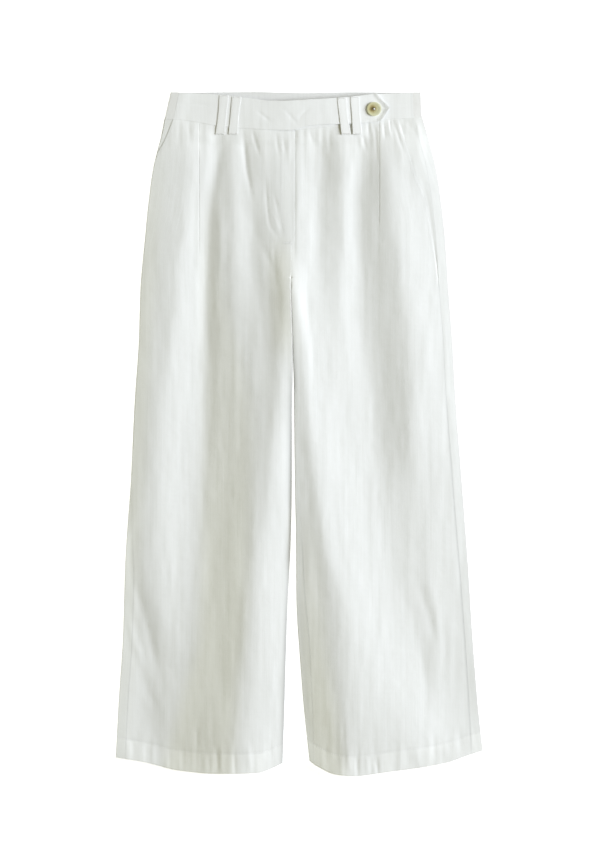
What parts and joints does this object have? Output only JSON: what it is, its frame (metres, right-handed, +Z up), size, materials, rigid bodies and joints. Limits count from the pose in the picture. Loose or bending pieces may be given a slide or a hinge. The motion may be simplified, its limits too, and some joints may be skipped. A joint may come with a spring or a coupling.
{
  "type": "linen trousers",
  "caption": "Wide cropped linen trousers laid flat, front up, with open leg and waist hollows, pleats, belt loops and a pointed, buttoned tab.",
  "frame": {"origin": "on the surface the trousers lie on, under the middle of their outline", "axes": "+Y from the hems to the waist, +Z up from the surface, +X towards the wearer's left because the front faces up"},
  "size_m": [0.5202, 0.97, 0.0244],
  "materials": {
    "front_linen": "matte plain weave, off-white linen",
    "back_linen": "matte plain weave, off-white linen",
    "band_linen": "matte plain weave, off-white linen, stiffened",
    "loop_linen": "matte plain weave, off-white linen, folded strip",
    "facing_linen": "matte plain weave, off-white linen",
    "horn": "satin horn-look, pale rim and dark dished middle"
  },
  "bodies": {
    "root": {"back_panel_left": "back_linen", "back_panel_right": "back_linen", "front_panel_left": "front_linen", "front_panel_right": "front_linen", "pocket_facing_left": "facing_linen", "pocket_facing_right": "facing_linen", "waistband_back": "band_linen", "waistband_front_left": "band_linen", "waistband_front_right": "band_linen", "belt_loop_left_inner": "loop_linen", "belt_loop_left_outer": "loop_linen", "belt_loop_right_inner": "loop_linen", "belt_loop_right_outer": "loop_linen", "button": "horn"}
  },
  "joints": []
}
